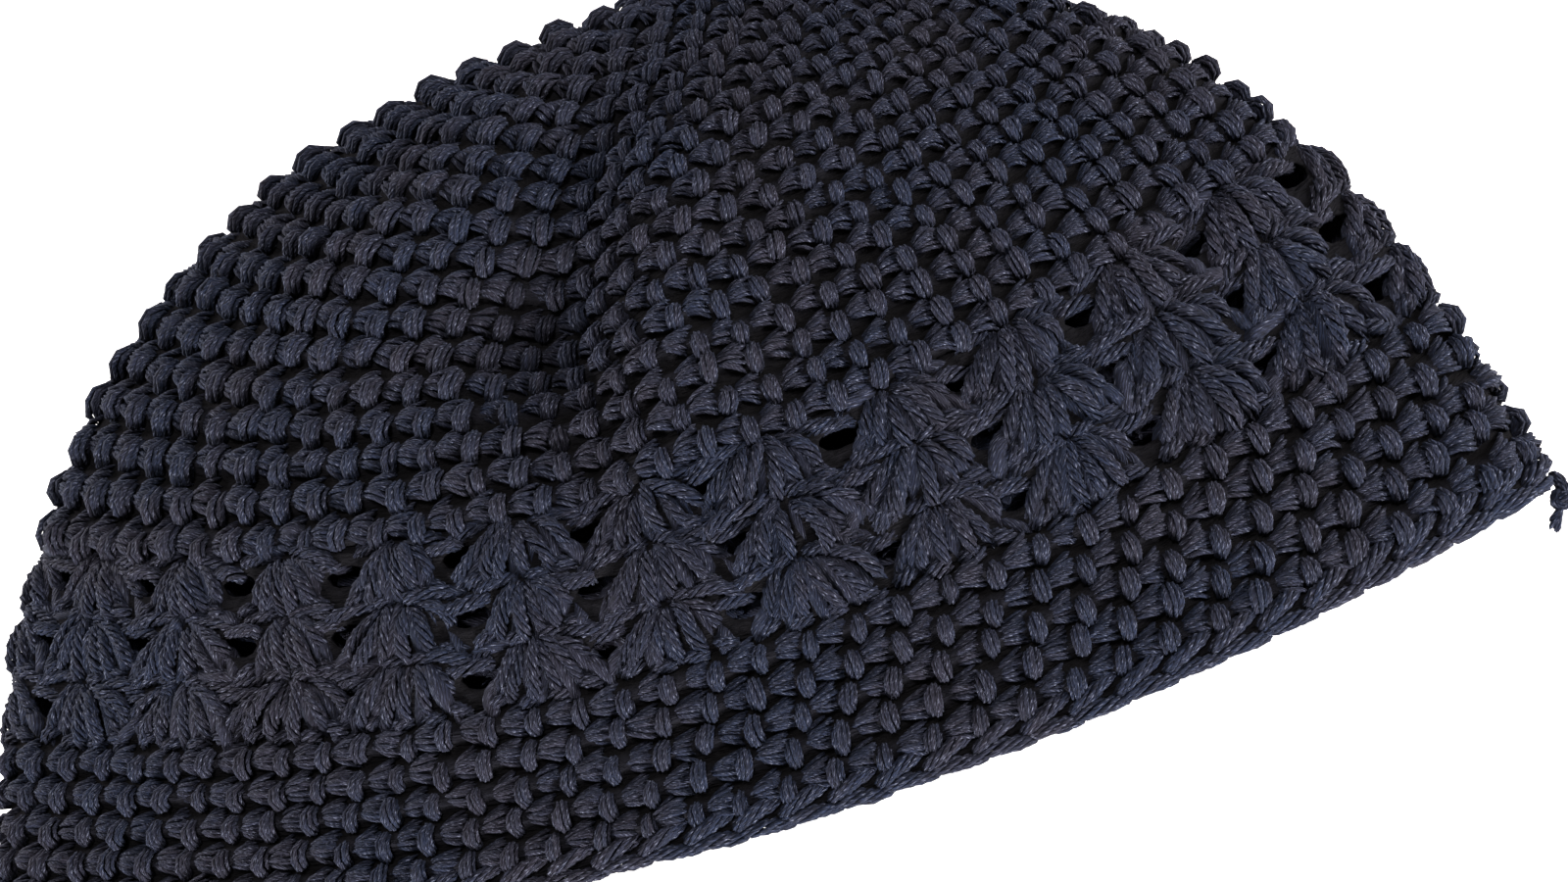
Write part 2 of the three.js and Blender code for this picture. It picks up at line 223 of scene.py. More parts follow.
def round_tables():
    turns = np.linspace(0.0, 2 * math.pi, TURN_STEPS)
    grid = wall_middle(LEVELS[:, None] + 0 * turns, turns + 0 * LEVELS[:, None])
    steps = np.linalg.norm(np.diff(grid, axis=1), axis=-1)
    lengths = np.concatenate([np.zeros((LEVEL_STEPS, 1)), np.cumsum(steps, axis=1)], axis=1)
    table = [np.interp(SHARES * row[-1], row, turns) for row in lengths]
    return np.array(table), lengths[:, -1]


TURN_TABLE, ROUND_LENGTHS = round_tables()


def round_length(v):
    return np.interp(v, LEVELS, ROUND_LENGTHS)


def turn_at(v, share):
    """Turn that lies at a share of the round at v."""
    place = np.clip((v - LEVELS[0]) / (LEVELS[1] - LEVELS[0]), 0, LAST_PLACE)
    level = place.astype(int)
    column_place = (share % 1.0) * (SHARE_STEPS - 1)
    column = np.minimum(column_place.astype(int), SHARE_STEPS - 2)
    up, side = place - level, column_place - column
    upper = between(TURN_TABLE[level, column], TURN_TABLE[level, column + 1], side)
    lower = between(TURN_TABLE[level + 1, column], TURN_TABLE[level + 1, column + 1], side)
    return between(upper, lower, up)


# Strands of yarn

STITCH_WIDTH = 7.0
SHELL_WIDTH = 21.0
SINK = 1.1
PRESSED_SINK = 1.4
LEAST_FULLNESS = 0.9
MOST_FULLNESS = 1.35
FILAMENT_LEAD = 4.2
FLOOR_CLEARANCE = 0.02
LOWEST_PLACE = CAP_END + 1.5
LEAST_REACH = 0.1
TONE_SLIDE = 7.0

# Spreads of the random draws
GUIDE_SPREAD = 0.15
YARN_THICKNESS = (0.9, 1.1)
PLY_THICKNESS = (0.9, 1.12)
PLY_TURN_SPREAD = 0.08
PLY_REACH_SPREAD = 0.06


def link_piece(name, mesh):
    mesh.shade_smooth()
    piece = bpy.data.objects.new(name, mesh)
    bpy.context.scene.collection.objects.link(piece)
    return piece


class StrandShape:
    """One closed strand, a ball to be drawn out along a route: its rings, angles and faces."""

    def __init__(self, sides, rings):
        ball = bmesh.new()
        bmesh.ops.create_uvsphere(ball, u_segments=sides, v_segments=rings, radius=1.0)
        ball.verts.index_update()
        points = np.array([vert.co[:] for vert in ball.verts])
        # The operator's order of faces can vary from run to run, so they are sorted
        faces = sorted([vert.index for vert in face.verts] for face in ball.faces)
        ball.free()
        self.rings = rings
        self.ring = np.rint(np.arccos(np.clip(points[:, 2], -1, 1)) / math.pi * rings).astype(int)
        self.angle = np.arctan2(points[:, 1], points[:, 0])
        self.loops = np.array([index for face in faces for index in face])
        self.face_sizes = np.array([len(face) for face in faces])
        self.loop_turns = np.concatenate([self.face_turns(face) for face in faces])

    def face_turns(self, face):
        """Turn round the strand at each corner of a face, without a jump at the seam or the ends."""
        angles = self.angle[face]
        at_end = (self.ring[face] == 0) | (self.ring[face] == self.rings)
        angles = np.where(angles < 0, angles + 2 * math.pi, angles)
        inner = angles[~at_end]
        if inner.max() - inner.min() > math.pi:
            angles = np.where(angles < math.pi, angles + 2 * math.pi, angles)
            inner = angles[~at_end]
        return np.where(at_end, inner.mean(), angles) / (2 * math.pi)


def bend_weights(count, places):
    """Weights of a smooth curve's guide points at places from 0 to 1 along it."""
    order = count - 1
    weights = [math.comb(order, k) * places**k * (1 - places) ** (order - k) for k in range(count)]
    return np.stack(weights, axis=-1)


def taper(rings, bluntness):
    """Places from end to end of a strand, and how thick it is there."""
    places = np.linspace(-1.0, 1.0, rings + 1)
    return places, (1 - np.abs(places) ** bluntness) ** (1 / bluntness)


def cross_axes(centre, outward):
    """Upward and sideways directions of strands that follow centre lines."""
    along = unit(np.gradient(centre, axis=1))
    up = unit(outward - along * np.sum(outward * along, axis=-1, keepdims=True))
    return up, np.cross(along, up)


def line_lengths(centre):
    return np.linalg.norm(np.diff(centre, axis=1), axis=-1).sum(axis=1)


class YarnPiece:
    """Collects the strands of one piece and joins them into a mesh."""

    def __init__(self, shape, plied):
        self.shape = shape
        self.plied = plied
        self.points, self.lengths, self.tones, self.folds = [], [], [], []

    def lay(self, v, share, route, yarn, stretch=1.0, loose=GUIDE_SPREAD, shift=0.0):
        """Lays a route at many places. Its rows are across to the right, down and out."""
        v, share = np.broadcast_arrays(np.asarray(v, float), np.asarray(share, float))
        stray = draw.normal(0.0, loose, (len(v), len(route), 3))
        guide = np.asarray(route, float)[None] + stray + shift
        places = np.linspace(0.0, 1.0, self.shape.rings + 1)
        local = np.einsum("rk,nkc->nrc", bend_weights(len(route), places), guide)
        down = np.clip(v[:, None] + local[..., 1], LEVELS[0], LOWEST_PLACE)
        turn = turn_at(down, share[:, None] - local[..., 0] * stretch / round_length(down))
        outward = wall_outward(down, turn)
        pressed = 1 - ease(np.sin(turn), FREE_FROM, FREE_TO)
        height = local[..., 2] - between(SINK, PRESSED_SINK, pressed)
        centre = wall_middle(down, turn) + outward * height[..., None]
        round_stretch = down_stretch(down, turn).mean(axis=1)
        fullness = np.clip(round_stretch, LEAST_FULLNESS, yarn.get("most", 1.0))
        self.twist(centre, outward, yarn, fullness)

    def twist(self, centre, outward, yarn, fullness=1.0):
        """Lays a yarn along centre lines: as plies wound round each line, or as one plain strand."""
        radius = yarn["radius"] * fullness * draw.uniform(*YARN_THICKNESS, len(centre))
        if not self.plied or "places" not in yarn:
            self.draw_out(centre, outward, radius, yarn["bluntness"])
            return
        up, side = cross_axes(centre, outward)
        places, profile = taper(self.shape.rings, yarn["bluntness"])
        ply = yarn["ply"] * fullness
        reach = np.maximum(radius - ply, LEAST_REACH)[:, None] * profile
        wind = places[None] * line_lengths(centre)[:, None] / 2 / yarn["lead"] * 2 * math.pi
        for place in yarn["places"]:
            shift = draw.normal(0.0, PLY_TURN_SPREAD, (len(centre), 1))
            angle = math.radians(90 + place) + wind + shift
            out = reach * draw.normal(1.0, PLY_REACH_SPREAD, (len(centre), 1))
            offset = np.cos(angle)[..., None] * side + np.sin(angle)[..., None] * up
            thickness = ply * draw.uniform(*PLY_THICKNESS, len(centre))
            self.draw_out(centre + out[..., None] * offset, offset, thickness)

    def draw_out(self, centre, outward, radius, bluntness=3.0):
        """Draws one strand out along each centre line."""
        shape = self.shape
        up, side = cross_axes(centre, outward)
        profile = taper(shape.rings, bluntness)[1]
        reach = np.asarray(radius)[:, None, None] * profile[shape.ring][None, :, None]
        section = np.cos(shape.angle)[:, None] * side[:, shape.ring]
        section = section + np.sin(shape.angle)[:, None] * up[:, shape.ring]
        points = centre[:, shape.ring] + reach * section
        points[..., 2] = np.maximum(points[..., 2], FLOOR_CLEARANCE)
        self.points.append(points)
        self.lengths.append(line_lengths(centre))
        self.tones.append(draw.uniform(0.0, 1.0, len(points)))
        folds = max(1, round(np.mean(radius) / LEAF_PLY["radius"]))
        self.folds.append(np.full(len(points), folds))

    def make(self, name):
        """Joins the strands, with their turn and length as a UV map and a tone for each strand."""
        shape = self.shape
        points = np.concatenate(self.points)
        lengths = np.concatenate(self.lengths)
        tones = np.concatenate(self.tones)
        folds = np.concatenate(self.folds)
        count, size = points.shape[:2]
        mesh = bpy.data.meshes.new(name)
        mesh.vertices.add(count * size)
        mesh.vertices.foreach_set("co", (points * MM).ravel())
        offsets = np.arange(count)[:, None]
        mesh.loops.add(count * len(shape.loops))
        mesh.loops.foreach_set("vertex_index", (shape.loops[None] + offsets * size).ravel())
        mesh.polygons.add(count * len(shape.face_sizes))
        starts = np.concatenate([[0], np.cumsum(shape.face_sizes)[:-1]])
        mesh.polygons.foreach_set("loop_start", (starts[None] + offsets * len(shape.loops)).ravel())
        mesh.update(calc_edges=True)
        mesh.validate()
        along = shape.ring[shape.loops] / shape.rings
        strand_uv = np.empty((count, len(shape.loops), 2))
        strand_uv[..., 0] = shape.loop_turns[None] * folds[:, None]
        strand_uv[..., 1] = along[None] * lengths[:, None] / FILAMENT_LEAD + tones[:, None] * TONE_SLIDE
        layer = mesh.uv_layers.new(name="strand")
        layer.data.foreach_set("uv", strand_uv.ravel())
        tone = mesh.attributes.new("tone", "FLOAT", "POINT")
        tone.data.foreach_set("value", np.repeat(tones, size))
        return link_piece(name, mesh)


# Yarns: radius, and for plied ones a ply's radius, the length of a turn and the plies' places in degrees

ROPE_PLIES = 7
ALL_ROUND = tuple(360 * index / ROPE_PLIES for index in range(ROPE_PLIES))
OVER_THE_TOP = (-72, -36, 0, 36, 72)
KNOB_YARN = {"radius": 1.5, "ply": 0.35, "lead": 40.0, "bluntness": 2.4, "places": OVER_THE_TOP}
KNOB_HEART = {"radius": 1.1, "bluntness": 2.4}
LEAF_PLY = {"radius": 0.36, "bluntness": 3.0}
LEAF_HEART = {"radius": 1.3, "bluntness": 2.0}
WEB_YARN = {"radius": 1.5, "bluntness": 3.0}
POST_YARN = {"radius": 1.35, "ply": 0.39, "lead": 9.0, "bluntness": 6.0, "places": ALL_ROUND}
EDGE_YARN = {"radius": 1.3, "ply": 0.40, "lead": 12.0, "bluntness": 2.0, "places": ALL_ROUND}
TAIL_YARN = {"radius": 0.95, "ply": 0.36, "lead": 8.0, "bluntness": 3.0, "places": ALL_ROUND}

# Plain stitches, as routes of across to the right, down from the round's top and out from the wall's middle
KNOB_ROUTE = (
    (-1.7, 6.4, -0.6),
    (-1.6, 5.6, 1.9),
    (-1.4, 4.1, 3.0),
    (-1.2, 2.6, 1.9),
    (-1.1, 2.0, -0.6),
)
KNOB_DEPTH = 0.6
LEAF_HEART_ROUTE = (
    (0.6, 3.1, -0.9),
    (1.8, 3.0, 1.0),
    (3.2, 2.9, 1.7),
    (4.4, 2.8, 1.2),
    (5.0, 2.7, -0.9),
)
LEAF_PLIES = 9
LEAF_TAIL_TOP = np.array((-0.4, 2.6))
LEAF_TAIL_FOOT = np.array((-0.6, 3.9))
LEAF_END_TOP = np.array((5.3, -0.2))
LEAF_END_FOOT = np.array((4.8, 5.7))
LEAF_CREST = 2.9
LEAF_CREST_PLACE = 0.62
LEAF_FALL = 0.5

# Arch of a leaf's ply: place along it, share of the rise there, height where it goes into the wall
LEAF_ARCH = ((0.0, 0.0, -0.4), (0.2, 0.75, 0.0), (0.5, 1.15, 0.0), (0.8, 0.85, 0.0), (1.0, 0.0, -0.3))

# How a plain stitch strays, and where each round of them starts
STITCH_MIDDLE = (2.6, 3.0)
STITCH_SPREAD = 0.2
STITCH_TILT = 0.08
STITCH_LOOSENESS = 0.27
CROWN_START = 0.35
CROWN_SLANT = 0.1
CROWN_START_ROUND = 17
RIM_START = 0.2
RIM_SLANT = 0.28

# Posts of a shell, and plain strands under them: places across and down from its point, and how far out
POSTS = (
    ("centre left", ((-0.7, 1.5), (-1.4, 4.2), (-1.9, 7.2), (-2.2, 11.0)), 1.9),
    ("centre right", ((0.7, 1.5), (1.3, 4.2), (1.7, 7.4), (2.0, 11.2)), 1.9),
    ("inner left", ((-1.2, 1.4), (-3.4, 3.6), (-4.8, 6.6), (-6.0, 10.4)), 1.5),
    ("inner right", ((1.3, 1.4), (3.8, 3.4), (5.2, 6.6), (6.2, 10.4)), 1.5),
    ("outer left", ((-1.6, 1.0), (-4.6, 2.4), (-6.8, 5.4), (-9.2, 8.9)), 1.0),
    ("outer right", ((1.7, 0.9), (5.8, 1.6), (8.2, 3.8), (8.8, 7.4)), 1.0),
    ("wing left", ((-1.8, 0.5), (-5.5, 0.0), (-9.0, 0.6), (-12.0, 2.0)), 0.8),
    ("wing right", ((1.8, 0.5), (5.5, 0.2), (9.0, 0.9), (12.0, 2.4)), 0.8),
    ("rung", ((7.0, 3.2), (9.0, 2.9), (12.0, 2.7), (15.0, 3.0)), 0.6),
)
WEBS = (
    ("middle", ((0.0, 1.5), (0.0, 4.2), (-0.1, 7.3), (-0.1, 11.0)), 0.4),
    ("near left", ((-1.0, 1.5), (-2.9, 3.9), (-3.4, 6.9), (-4.2, 10.6)), 0.3),
    ("near right", ((1.1, 1.5), (3.1, 3.8), (3.6, 6.9), (4.4, 10.6)), 0.3),
    ("far left", ((-1.4, 1.2), (-4.0, 3.0), (-5.9, 6.2), (-7.6, 9.8)), 0.2),
    ("far right", ((1.5, 1.1), (4.8, 2.5), (6.8, 5.4), (7.6, 9.4)), 0.2),
    ("foot left", ((-7.6, 6.2), (-8.8, 8.0), (-9.6, 9.4), (-10.2, 11.2)), 0.2),
    ("foot right", ((8.4, 6.4), (9.2, 8.0), (9.8, 9.4), (10.4, 11.0)), 0.2),
    ("brow left", ((-1.8, 0.2), (-5.0, -0.8), (-8.0, -0.5), (-11.0, 0.6)), 0.0),
    ("brow right", ((1.8, 0.2), (5.0, -0.6), (8.0, -0.3), (11.0, 0.8)), 0.0),
)
POST_RISE = (0.4, 1.3, 1.3, 1.0)
POST_START = 0.8
POST_PAST_END = 0.6
POST_DEPTH = -0.8
SHELL_LEAN = -0.04
LEAN_SPREAD = 0.13
WIDTH_SPREAD = 0.12
POST_LOOSENESS = 0.75

# Heads of the posts: across, down and tilt of each, and its route as across and out
POST_HEADS = ((-7.8, 9.6, 0.45), (-3.0, 10.6, 0.15), (2.2, 10.7, 0.0), (7.0, 9.9, -0.45))
HEAD_ROUTE = ((-1.9, -0.6), (-1.0, 1.6), (1.0, 1.6), (1.9, -0.6))

# Legs of the chain along the edge
UPPER_LEG = (
    (-4.8, 2.6, -1.0),
    (-3.2, 2.2, 1.6),
    (0.0, 0.9, 2.5),
    (3.2, -0.5, 1.7),
    (4.8, -1.1, -0.8),
)
LOWER_LEG = (
    (-5.2, 2.6, -1.0),
    (-3.0, 2.8, 0.7),
    (0.3, 3.3, 1.1),
    (3.6, 3.5, 0.7),
    (5.4, 3.5, -1.0),
)
EDGE_START = 0.3


def in_layer(v, share, upper):
    """The shares of a round that lie in the upper layer, or in the lower one."""
    free = np.sin(turn_at(np.full_like(share, v), share)) > FREE_FROM
    return share[free] if upper else share[~free]


def leaf_routes():
    """Plies of a leaf spread from its pointed tail to a broad end and arch over its heart."""
    for place in np.linspace(0.0, 1.0, LEAF_PLIES):
        tail = between(LEAF_TAIL_TOP, LEAF_TAIL_FOOT, place)
        end = between(LEAF_END_TOP, LEAF_END_FOOT, place)
        rise = LEAF_CREST * (1 - LEAF_FALL * (place / LEAF_CREST_PLACE - 1) ** 2)
        yield [(*between(tail, end, along), part * rise + sunk) for along, part, sunk in LEAF_ARCH]


def plain_round(piece, top, height, count, phase, upper):
    """Lays one round of plain stitches, each a leaf with a knob beside it."""
    share = in_layer(top + height / 2, (np.arange(count) + phase) / count, upper)
    stretch = round_length(top + height / 2) / count / STITCH_WIDTH
    level = np.full_like(share, top)
    scale = np.array((1.0, height / CROWN_ROUND, 1.0))
    slim = min(1.0, stretch**0.5)
    knob_place = draw.normal(0.0, STITCH_SPREAD, (len(share), 1, 3))
    leaf_place = draw.normal(0.0, STITCH_SPREAD, (len(share), 1, 3))
    tilt = draw.normal(0.0, STITCH_TILT, (len(share), 1))

    def add(yarn, route, place):
        fitted = dict(yarn, radius=yarn["radius"] * slim, most=MOST_FULLNESS)
        route = np.array(route) * scale
        shift = place + np.zeros((len(share), len(route), 3))
        shift[..., 0] -= tilt * (route[:, 1] - STITCH_MIDDLE[1])
        shift[..., 1] += tilt * (route[:, 0] - STITCH_MIDDLE[0])
        piece.lay(level, share, route, fitted, stretch, STITCH_LOOSENESS, shift)

    add(LEAF_HEART, LEAF_HEART_ROUTE, leaf_place)
    add(KNOB_HEART, np.array(KNOB_ROUTE) - (0, 0, KNOB_DEPTH), knob_place)
    if upper:
        add(KNOB_YARN, KNOB_ROUTE, knob_place)
        for route in leaf_routes():
            add(LEAF_PLY, route, leaf_place)


def crown_rounds(name, first, last, upper, shape):
    piece = YarnPiece(shape, upper)
    for index in range(first, last):
        length = round_length((index + 0.5) * CROWN_ROUND)
        count = int(np.clip(round(length / STITCH_WIDTH), START_STITCHES, STITCHES))
        phase = CROWN_START + CROWN_SLANT * (index - CROWN_START_ROUND)
        plain_round(piece, index * CROWN_ROUND, CROWN_ROUND, count, phase, upper)
    return piece.make(name)


def rim_rounds(name, upper, shape):
    piece = YarnPiece(shape, upper)
    for index in range(RIM_ROUNDS):
        phase = RIM_START + RIM_SLANT * index
        plain_round(piece, SHELL_END + index * RIM_ROUND, RIM_ROUND, STITCHES, phase, upper)
    return piece.make(name)


def post_route(places, crest):
    """A post comes out at the shell's point, runs over the wall and goes in again at its head."""
    rows = []
    for (across, down), rise in zip(places, POST_RISE):
        rows.append((across + SHELL_LEAN * down, down, rise * crest))
    foot, head = rows[0], rows[-1]
    start = (POST_START * foot[0], foot[1] - POST_PAST_END, POST_DEPTH)
    return [start, *rows, (head[0], head[1] + POST_PAST_END, POST_DEPTH)]


def shell_places(index, upper):
    top = CROWN_END + index * SHELL_ROUND
    share = in_layer(top + SHELL_ROUND / 2, np.arange(SHELLS) / SHELLS, upper)
    stretch = round_length(top + SHELL_ROUND / 2) / SHELLS / SHELL_WIDTH
    return np.full_like(share, top), share, stretch


def shell_posts(name, rounds, upper, shape):
    piece = YarnPiece(shape, upper)
    for index in rounds:
        level, share, stretch = shell_places(index, upper)
        lean = draw.normal(0.0, LEAN_SPREAD, (len(share), 1))
        width = draw.normal(0.0, WIDTH_SPREAD, (len(share), 1))
        for posts, yarn in ((POSTS, POST_YARN), (WEBS, WEB_YARN)):
            for _, places, crest in posts:
                route = np.array(post_route(places, crest))
                shift = np.zeros((len(share), len(route), 3))
                shift[..., 0] = lean * route[:, 1] + width * route[:, 0]
                piece.lay(level, share, route, yarn, stretch, POST_LOOSENESS, shift)
    return piece.make(name)


def shell_heads(name, shape):
    piece = YarnPiece(shape, True)
    for index in range(SHELL_ROUNDS):
        level, share, stretch = shell_places(index, True)
        for across, down, tilt in POST_HEADS:
            route = [(across + side, down - side * tilt, out) for side, out in HEAD_ROUTE]
            piece.lay(level, share, route, POST_YARN, stretch)
    return piece.make(name)


def edge_chain(name, upper, shape):
    piece = YarnPiece(shape, upper)
    share = in_layer(RIM_END, (np.arange(STITCHES) + EDGE_START) / STITCHES, upper)
    for route in (UPPER_LEG, LOWER_LEG):
        piece.lay(np.full_like(share, RIM_END), share, route, EDGE_YARN)
    return piece.make(name)


# The wall that the stitches stand on

CORE_VALLEY = -0.8
CORE_RIDGE = 0.7
CORE_LAG = 0.15
# Rise of the shell band's wall, which also sets how dark its painted shade is
BAND_RISE = 0.35
CORE_THICKNESS = 0.8
CORE_MERGE = 0.02
CORE_COLUMNS = 2 * STITCHES
ROUND_ROWS = 4
SHELL_COLUMNS = 12
SHELL_ROWS = 8
EDGE_ROWS = 2
EDGE_COVER = 2.6

# Gaps between the shells, from a shell's point down and across, and their size in the lower layer
GAP_DEPTH = 5.2
GAP_SIDE = -0.8
GAP_HALF_HEIGHT = 2.0
GAP_HALF_WIDTH = 3.6
GAP_UNDER = 0.6


def gap_place(v, share):
    """How far places lie down and across from the nearest gap's middle, and as a part of its size."""
    down = (v - CROWN_END) % SHELL_ROUND - GAP_DEPTH
    across = ((share * SHELLS) % 1.0 - 0.5) * SHELL_WIDTH - GAP_SIDE
    size = np.where(share < 0.5, 1.0, GAP_UNDER)
    return down, across, np.hypot(down / GAP_HALF_HEIGHT, across / GAP_HALF_WIDTH) / size


def gap_outline(v, share):
    """Moves places near a gap's edge onto its outline."""
    down, across, reach = gap_place(v, share)
    move = 1 / reach - 1
    return v + down * move, share + across * move / SHELL_WIDTH / SHELLS


def open_gaps(core, first, last, v, share):
    """Deletes the faces in the gaps between shells and moves the vertices beside them to the outline."""
    centres = np.array([face.calc_center_median()[:2] for face in core.faces]) + 0.5
    reach = gap_place(between(first, last, centres[:, 1]), centres[:, 0])[2]
    doomed = [face for face, part in zip(core.faces, reach) if part < 1]
    kept = [face for face, part in zip(core.faces, reach) if part >= 1]
    beside = {vert for face in doomed for vert in face.verts}
    beside &= {vert for face in kept for vert in face.verts}
    core.verts.index_update()
    brink = sorted(vert.index for vert in beside)
    v[brink], share[brink] = gap_outline(v[brink], share[brink])
    bmesh.ops.delete(core, geom=doomed, context="FACES_ONLY")


def wall_core(name, first, last, columns, rows, ridges=0, pierced=False):
    """A sheet round the cap, raised along each round or pierced between shells, thickened inwards."""
    core = bmesh.new()
    bmesh.ops.create_grid(core, x_segments=columns, y_segments=rows, size=0.5)
    grid = np.array([vert.co[:2] for vert in core.verts]) + 0.5
    share = grid[:, 0]
    v = between(first, last, grid[:, 1])
    rise = np.full(len(grid), BAND_RISE)
    if ridges:
        rise = np.sin(math.pi * (ridges * grid[:, 1] - CORE_LAG)) ** 2
    # The rise also sets the inner wall's painted shade, darkest in the valleys between rounds
    rise_layer = core.verts.layers.float.new("rise")
    for vert, raised in zip(core.verts, rise):
        vert[rise_layer] = raised
    uv_layer = core.loops.layers.uv.new("strand")
    for face in core.faces:
        for loop in face.loops:
            along = (loop.vert.co.x + 0.5) * STITCHES
            down = between(first, last, loop.vert.co.y + 0.5) / CROWN_ROUND
            loop[uv_layer].uv = (along, down)
    if pierced:
        open_gaps(core, first, last, v, share)

    turn = turn_at(np.maximum(v, LEVELS[0]), share)
    out = np.where(v < LEVELS[0], 0.0, between(CORE_VALLEY, CORE_RIDGE, rise))
    outward = wall_outward(np.maximum(v, LEVELS[0]), turn)
    points = wall_middle(v, turn) + outward * out[:, None]
    core.verts.index_update()
    for vert, point in zip(core.verts, points):
        vert.co = point * MM
    core.normal_update()
    facing = sum(face.normal.dot(Vector(outward[face.verts[0].index])) for face in core.faces)
    if facing < 0:
        bmesh.ops.reverse_faces(core, faces=core.faces)
    bare = [edge for edge in core.edges if not edge.link_faces]
    bmesh.ops.delete(core, geom=bare, context="EDGES")
    loose = [vert for vert in core.verts if not vert.link_faces]
    bmesh.ops.delete(core, geom=loose, context="VERTS")
    bmesh.ops.remove_doubles(core, verts=core.verts, dist=CORE_MERGE * MM)
    mesh = bpy.data.meshes.new(name)
    core.to_mesh(mesh)
    core.free()
    piece = link_piece(name, mesh)
    thicken = piece.modifiers.new("thickness", "SOLIDIFY")
    thicken.thickness = CORE_THICKNESS * MM
    thicken.offset = -1
    return piece


# Yarn tail: a knot below the corner of the rim with three frayed ends

KNOT_RADIUS = 1.8
KNOT_OUT = 0.8
KNOT_GAP = 0.45
KNOT_DROP = EDGE / 2 + KNOT_GAP + KNOT_RADIUS
LINK_BOW = np.array((0.6, 0.0, 0.3))
UPWARD = np.array((0.0, 0.0, 1.0))

# Loops of the knot: start and tilt of each, in radians
KNOT_LOOPS = ((0.0, 0.3), (2.1, 1.0), (4.2, 1.7))
KNOT_LOOP_TURN = 1.5 * math.pi
CUT_ENDS = (
    ("towards the front", (-2.8, -3.4, -1.2)),
    ("outwards", (2.8, -1.6, -0.6)),
    ("backwards", (3.8, 3.0, 0.6)),
)
END_FIBRES = 5
END_FIBRE_RADIUS = 0.4
END_ARCH = 0.4
END_STRAY = 0.35
END_FRAY = 1.6


def yarn_tail(name, shape):
    piece = YarnPiece(shape, True)
    v, turn = np.array([CAP_END - EDGE / 2]), np.array([0.0])
    corner = wall_middle(v, turn)[0] + wall_outward(v, turn)[0] * KNOT_OUT
    knot = corner - np.array([0.0, KNOT_DROP, 0.0])
    places = np.linspace(0.0, 1.0, shape.rings + 1)
    upward = np.broadcast_to(UPWARD, (1, len(places), 3))
    link = between(corner, knot, places[:, None]) + np.sin(math.pi * places)[:, None] * LINK_BOW
    piece.twist(link[None], upward, TAIL_YARN)
    for spin, tilt in KNOT_LOOPS:
        arc = spin + places * KNOT_LOOP_TURN
        sine = np.sin(arc)
        ring = np.stack([np.cos(arc), sine * math.cos(tilt), sine * math.sin(tilt)], axis=-1)
        centre = knot + (KNOT_RADIUS - TAIL_YARN["radius"]) * ring
        piece.twist(centre[None], ring[None], TAIL_YARN)
    for _, reach in CUT_ENDS:
        for _ in range(END_FIBRES):
            stray = draw.normal(0.0, END_STRAY, 3)
            bend = knot + 0.5 * np.array(reach) + END_ARCH * UPWARD
            tip = knot + np.array(reach) + END_FRAY * stray
            guide = np.array([knot, bend, tip])
            centre = bend_weights(len(guide), places) @ guide
            piece.draw_out(centre[None], upward, np.array([END_FIBRE_RADIUS]))
    return piece.make(name)


# Materials

# Painted shade: a dark colour laid in the grooves between filaments and in dark fibre specks
PAINTED_GROOVE_SHADE = (0.0030, 0.0029, 0.0036, 1.0)
PLUM_NAVY = (0.0100, 0.0092, 0.0138, 1.0)
BLUE_NAVY = (0.0059, 0.0082, 0.0166, 1.0)
# Painted glints: a light colour laid on the tops of the plies where highlights would fall
PAINTED_GLINT_NAVY = (0.056, 0.059, 0.076, 1.0)
# Painted shade: the inner wall stands in for yarn lying in shade behind the stitches, so its colours are
# darker than the yarn's and darkest in the valleys between rounds
SHADED_INNER_VALLEY = (0.0030, 0.0028, 0.0028, 1.0)
SHADED_INNER_DARK = (0.0028, 0.0027, 0.0029, 1.0)
SHADED_INNER_NAVY = (0.0070, 0.0070, 0.0095, 1.0)
YARN_FINISH = {
    "Roughness": 0.8,
    "Specular IOR Level": 0.03,
    "Sheen Weight": 0.015,
    "Sheen Roughness": 0.4,
    "Sheen Tint": (0.6, 0.72, 1.0, 1.0),
}
INNER_FINISH = {"Roughness": 0.9, "Specular IOR Level": 0.0}
TABLE_FINISH = {
    "Base Color": (0.74, 0.72, 0.68, 1.0),
    "Roughness": 0.6,
    "Specular IOR Level": 0.3,
}

# Filaments of a ply: how many, how their fibres are drawn out, and the noise that darkens them with painted
# shade and brightens them with painted glints
FILAMENTS = 4
FIBRES_ROUND = 2.5
FIBRES_ALONG = 4.5
NOISE_DETAIL = 3.0
SHADE_FROM = 0.36
SHADE_TO = 0.54
LEAST_SHADE = 0.1
# Part of the fibre noise that becomes painted glints
GLINT_FROM = 0.585
GLINT_TO = 0.69
FIBRE_HEIGHT = 0.6
FILAMENT_BUMP = 0.12

# Patches of plum and blue over the cap, with some difference from strand to strand
PATCH_SCALE = 45.0
PATCH_FROM = 0.35
PATCH_TO = 0.65
PATCH_PLUM = -0.25
PATCH_BLUE = 0.75
STRAND_TONE = 0.5

# Streaks of the inner wall, in colours darkened as painted shade
STREAK_SCALE = (3.0, 9.0, 1.0)
STREAK_BUMP = 1.0


def feed(tree, socket, value):
    """Links a socket to another one, or sets it."""
    if isinstance(value, bpy.types.NodeSocket):
        tree.links.new(value, socket)
    else:
        socket.default_value = value


def maths(tree, operation, *values):
    node = tree.nodes.new("ShaderNodeMath")
    node.operation = operation
    for socket, value in zip(node.inputs, values):
        feed(tree, socket, value)
    return node.outputs[0]


def noise_at(tree, place, scale=1.0):
    noise = tree.nodes.new("ShaderNodeTexNoise")
    noise.inputs["Scale"].default_value = scale
    noise.inputs["Detail"].default_value = NOISE_DETAIL
    tree.links.new(place, noise.inputs["Vector"])
    return noise.outputs["Fac"]


